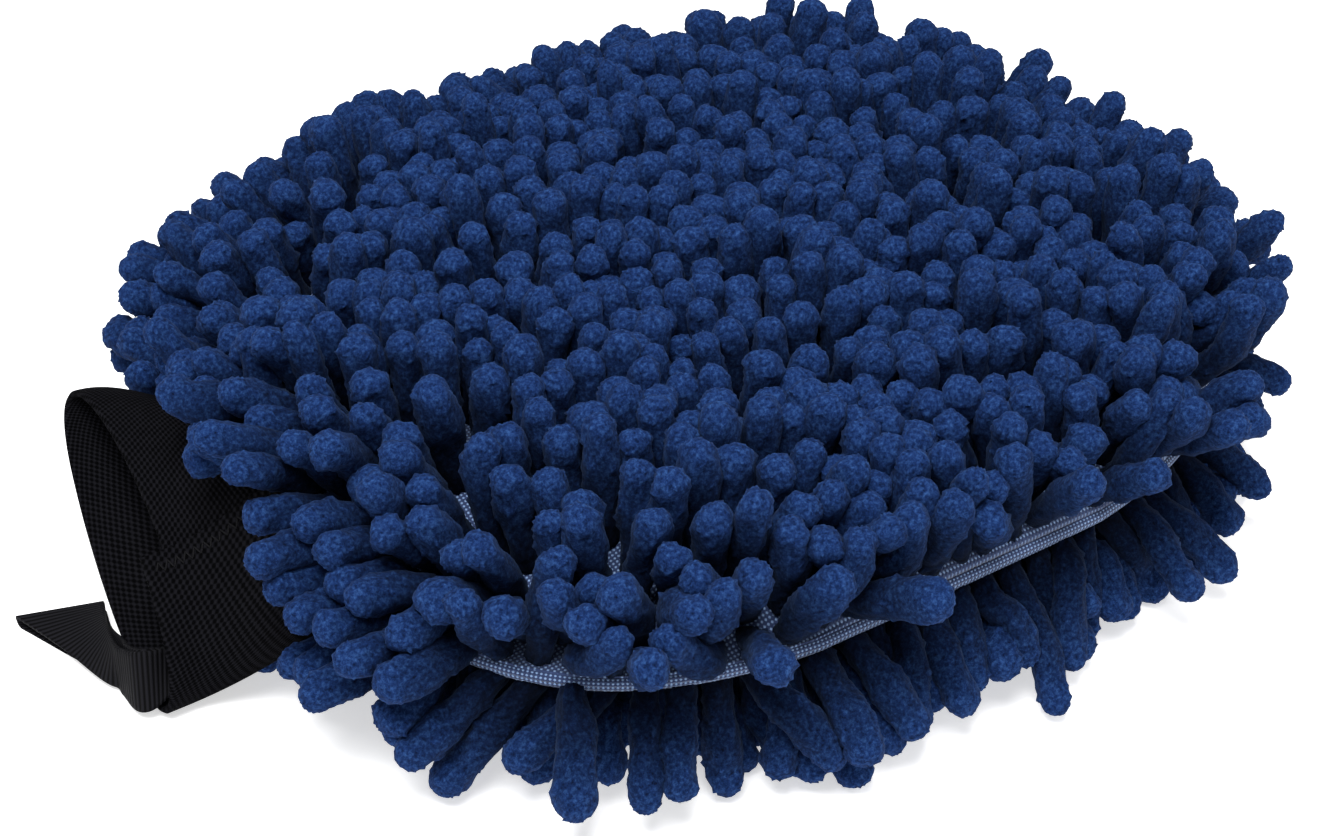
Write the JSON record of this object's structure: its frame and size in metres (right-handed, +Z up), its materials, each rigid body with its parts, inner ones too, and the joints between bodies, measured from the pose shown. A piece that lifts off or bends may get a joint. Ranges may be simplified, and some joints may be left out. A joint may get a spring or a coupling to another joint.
{
  "type": "chenille wash mitt",
  "caption": "Empty wash mitt with long chenille noodles on both faces, a black elastic cuff round its mouth and a folded tape hanging loop.",
  "frame": {"origin": "on the table under the middle of the mitt's sewn body, on the flat underside of the middle lower chenille row", "axes": "+X from the cuff to the finger end, +Z up from the table, +Y across towards the cuff mouth's raised corner"},
  "size_m": [0.2757, 0.224, 0.0628],
  "materials": {
    "chenille": "velour microfibre noodles, matt with a soft sheen",
    "ground_knit": "open knitted net, matt",
    "lining_cloth": "smooth woven lining, matt",
    "seam_thread": "overlock thread",
    "elastic_knit": "knitted elastic with fine diagonal bumps, matt",
    "black_thread": "polyester sewing thread",
    "tape": "ribbed woven tape, matt"
  },
  "bodies": {
    "mitt": {"top_chenille_row_01": "chenille", "top_chenille_row_02": "chenille", "top_chenille_row_03": "chenille", "top_chenille_row_04": "chenille", "top_chenille_row_05": "chenille", "top_chenille_row_06": "chenille", "top_chenille_row_07": "chenille", "top_chenille_row_08": "chenille", "top_chenille_row_09": "chenille", "top_chenille_row_10": "chenille", "top_chenille_row_11": "chenille", "top_chenille_row_12": "chenille", "top_chenille_row_13": "chenille", "top_chenille_row_14": "chenille", "top_chenille_row_15": "chenille", "top_chenille_row_16": "chenille", "top_chenille_row_17": "chenille", "top_chenille_row_18": "chenille", "top_chenille_row_19": "chenille", "top_chenille_row_20": "chenille", "top_chenille_row_21": "chenille", "top_chenille_row_22": "chenille", "top_chenille_row_23": "chenille", "bottom_chenille_row_01": "chenille", "bottom_chenille_row_02": "chenille", "bottom_chenille_row_03": "chenille", "bottom_chenille_row_04": "chenille", "bottom_chenille_row_05": "chenille", "bottom_chenille_row_06": "chenille", "bottom_chenille_row_07": "chenille", "bottom_chenille_row_08": "chenille", "bottom_chenille_row_09": "chenille", "bottom_chenille_row_10": "chenille", "bottom_chenille_row_11": "chenille", "bottom_chenille_row_12": "chenille", "bottom_chenille_row_13": "chenille", "bottom_chenille_row_14": "chenille", "bottom_chenille_row_15": "chenille", "bottom_chenille_row_16": "chenille", "bottom_chenille_row_17": "chenille", "bottom_chenille_row_18": "chenille", "bottom_chenille_row_19": "chenille", "bottom_chenille_row_20": "chenille", "bottom_chenille_row_21": "chenille", "bottom_chenille_row_22": "chenille", "bottom_chenille_row_23": "chenille", "top_ground_fabric": "ground_knit", "bottom_ground_fabric": "ground_knit", "top_lining": "lining_cloth", "bottom_lining": "lining_cloth", "seam_thread": "seam_thread", "cuff_band": "elastic_knit", "cuff_lap_stitches": "black_thread", "cuff_seam_thread": "black_thread", "hanging_loop_sewn_end": "tape", "loop_bar_tack": "black_thread"},
    "loop": {"hanging_loop": "tape"}
  },
  "joints": [
    {"name": "loop_swing", "type": "hinge", "parent": "mitt", "child": "loop", "pos_m": [-0.14304, -0.01604, 0.0074], "axis": [0, 0, 1], "range_deg": [0, 100]}
  ]
}
